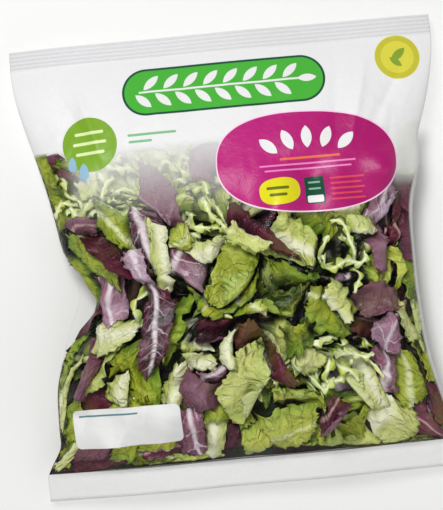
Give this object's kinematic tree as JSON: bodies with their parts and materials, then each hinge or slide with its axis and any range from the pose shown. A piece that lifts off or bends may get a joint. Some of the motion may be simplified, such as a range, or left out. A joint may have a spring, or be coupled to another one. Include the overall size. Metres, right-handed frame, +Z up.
{
  "type": "bag of salad leaves",
  "caption": "Sealed clear film pillow bag filled with mixed salad leaves, lying on its back, with crimped ends and a white printed top.",
  "frame": {"origin": "middle of the bag's box at its underside, on the surface that the bag lies on", "axes": "+X across the bag to its right side fold, +Y along it to the crimped top seal, +Z up out of the printed front"},
  "size_m": [0.28, 0.3, 0.0832],
  "materials": {
    "film": "clear glossy film, printed white and magenta towards the top, over green and burgundy salad leaves",
    "romaine_leaf": "waxy mid-green leaf with a pale rib and net veins",
    "pale_leaf": "pale crisp leaf, nearly white at its rib",
    "curly_leaf": "finely cut yellow-green leaf",
    "red_leaf": "burgundy leaf, green at its base",
    "veined_red_leaf": "dark wine-red leaf with a white rib and white veins",
    "leaf_core": "shaded leaves inside the heap"
  },
  "bodies": {
    "root": {"bag": "film"}
  },
  "joints": []
}
